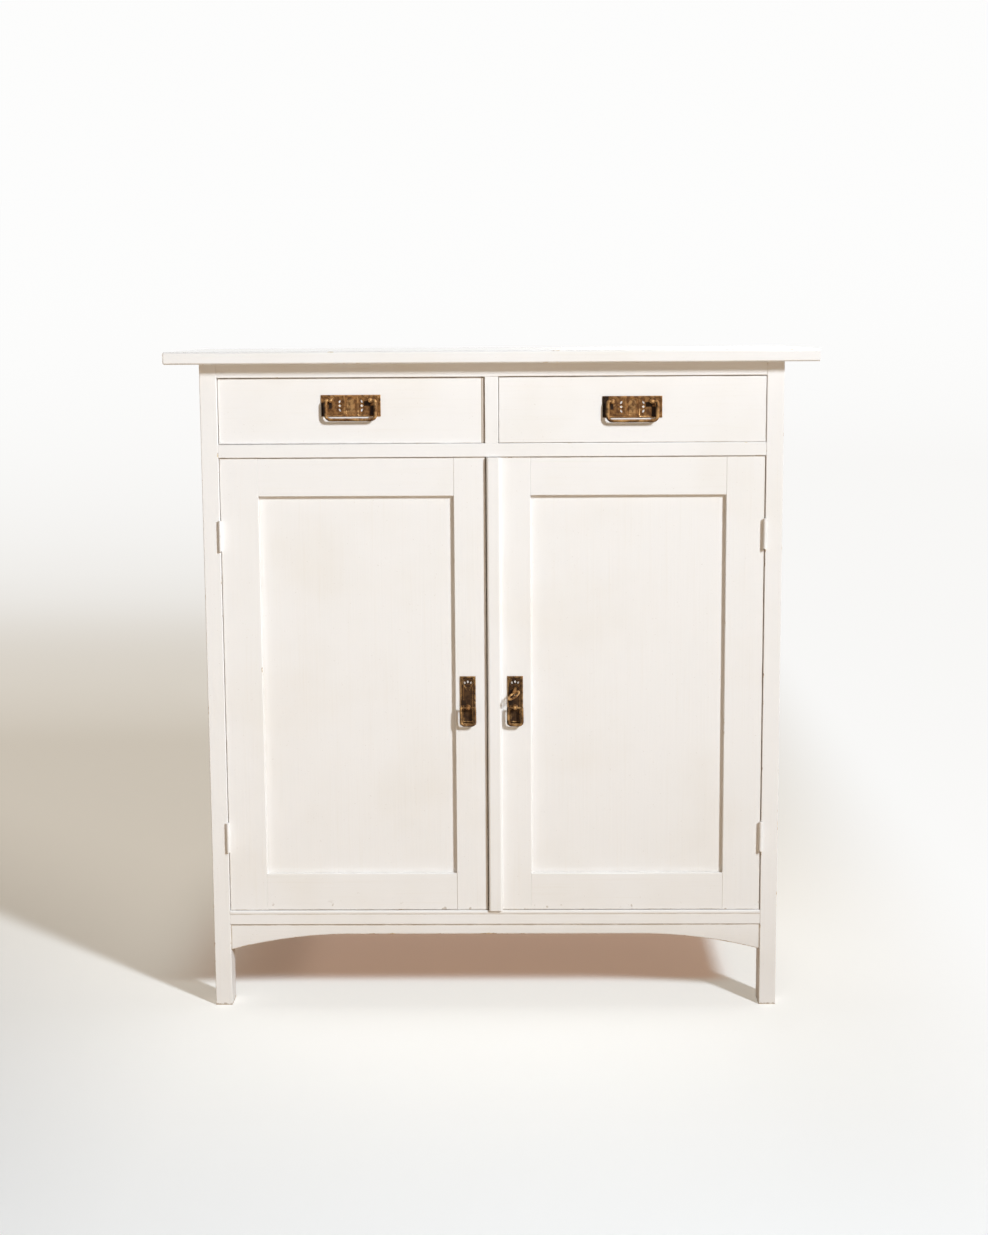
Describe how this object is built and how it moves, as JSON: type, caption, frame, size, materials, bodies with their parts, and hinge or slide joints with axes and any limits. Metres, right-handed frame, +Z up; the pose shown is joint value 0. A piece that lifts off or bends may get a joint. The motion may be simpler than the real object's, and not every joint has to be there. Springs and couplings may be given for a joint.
{
  "type": "credenza cupboard",
  "caption": "White painted cupboard on square legs: drawers over framed panel doors, pierced brass plates with hanging handles, a key in the lock, an arched apron.",
  "frame": {"origin": "on the floor, under the middle of the top", "axes": "+X to the right as seen from the front, +Y to the back, +Z up"},
  "size_m": [1.058, 0.48, 1.102],
  "materials": {
    "white_paint": "brushed white oil paint, a little worn at the edges",
    "bare_pine": "unpainted pine, darkened by age",
    "painted_hinge": "steel hinge painted over with the frame",
    "aged_brass": "dark patina with bright rubbed edges",
    "lock_steel": "dull grey steel",
    "key_brass": "brass rubbed bright by handling"
  },
  "bodies": {
    "case": {"top_board": "white_paint", "front_right_post": "white_paint", "front_left_post": "white_paint", "rear_right_post": "white_paint", "rear_left_post": "white_paint", "top_front_rail": "white_paint", "drawer_rail": "white_paint", "bottom_front_rail": "white_paint", "front_apron": "white_paint", "drawer_divider": "white_paint", "right_side_rails": "white_paint", "left_side_rails": "white_paint", "right_side_panel": "white_paint", "left_side_panel": "white_paint", "back_rails": "bare_pine", "back_boards": "bare_pine", "cupboard_floor": "bare_pine", "shelves": "bare_pine", "shelf_cleats": "bare_pine", "drawer_runners": "bare_pine", "drawer_kickers": "bare_pine", "drawer_guide": "bare_pine", "hinge_post_leaves": "painted_hinge", "hinge_pins": "painted_hinge"},
    "left_drawer": {"left_drawer_front": "white_paint", "left_drawer_sides": "bare_pine", "left_drawer_back": "bare_pine", "left_drawer_bottom": "bare_pine", "left_pull_plate": "aged_brass", "left_pull_posts": "aged_brass"},
    "left_bail": {"left_pull_bail": "aged_brass"},
    "right_drawer": {"right_drawer_front": "white_paint", "right_drawer_sides": "bare_pine", "right_drawer_back": "bare_pine", "right_drawer_bottom": "bare_pine", "right_pull_plate": "aged_brass", "right_pull_posts": "aged_brass"},
    "right_bail": {"right_pull_bail": "aged_brass"},
    "left_door": {"left_door_hinge_stile": "white_paint", "left_door_meeting_stile": "white_paint", "left_door_rails": "white_paint", "left_door_panel": "white_paint", "left_door_hinge_leaves": "painted_hinge", "left_door_plate": "aged_brass", "left_drop_post": "aged_brass", "left_bolt_guide": "lock_steel"},
    "left_door_drop": {"left_drop": "aged_brass"},
    "left_bolt": {"left_door_bolt": "lock_steel"},
    "right_door": {"right_door_hinge_stile": "white_paint", "right_door_meeting_stile": "white_paint", "right_door_rails": "white_paint", "right_door_panel": "white_paint", "right_door_hinge_leaves": "painted_hinge", "right_door_plate": "aged_brass", "right_drop_post": "aged_brass", "meeting_strip": "white_paint", "lock_case": "lock_steel"},
    "right_door_drop": {"right_drop": "aged_brass"},
    "door_key": {"key": "key_brass"},
    "door_lock_bolt": {"lock_bolt": "lock_steel"}
  },
  "joints": [
    {"name": "left_drawer_slide", "type": "slide", "parent": "case", "child": "left_drawer", "axis": [0, -1, 0], "range_m": [0, 0.3]},
    {"name": "right_drawer_slide", "type": "slide", "parent": "case", "child": "right_drawer", "axis": [0, -1, 0], "range_m": [0, 0.3]},
    {"name": "left_bail_swing", "type": "hinge", "parent": "left_drawer", "child": "left_bail", "pos_m": [-0.229, -0.2153, 1.02275], "axis": [-1, 0, 0], "range_deg": [0, 170]},
    {"name": "right_bail_swing", "type": "hinge", "parent": "right_drawer", "child": "right_bail", "pos_m": [0.229, -0.2183, 1.01875], "axis": [-1, 0, 0], "range_deg": [0, 170]},
    {"name": "left_door_swing", "type": "hinge", "parent": "case", "child": "left_door", "pos_m": [-0.44665, -0.2129, 0.547], "axis": [0, 0, -1], "range_deg": [0, 170]},
    {"name": "right_door_swing", "type": "hinge", "parent": "case", "child": "right_door", "pos_m": [0.44665, -0.2129, 0.547], "axis": [0, 0, 1], "range_deg": [0, 170]},
    {"name": "left_drop_swing", "type": "hinge", "parent": "left_door", "child": "left_door_drop", "pos_m": [-0.042, -0.2168, 0.514], "axis": [-1, 0, 0], "range_deg": [0, 170]},
    {"name": "right_drop_swing", "type": "hinge", "parent": "right_door", "child": "right_door_drop", "pos_m": [0.0365, -0.2168, 0.514], "axis": [-1, 0, 0], "range_deg": [0, 110]},
    {"name": "key_turn", "type": "hinge", "parent": "right_door", "child": "door_key", "pos_m": [0.0365, -0.2, 0.546], "axis": [0, 1, 0], "range_deg": [-62, 118]},
    {"name": "lock_bolt_slide", "type": "slide", "parent": "right_door", "child": "door_lock_bolt", "axis": [-1, 0, 0], "range_m": [-0.005, 0.0095]},
    {"name": "left_bolt_slide", "type": "slide", "parent": "left_door", "child": "left_bolt", "axis": [0, 0, 1], "range_m": [0, 0.014]}
  ],
  "couplings": [
    {"joint": "lock_bolt_slide", "follows": "key_turn", "m_per_rad": 0.0044}
  ]
}
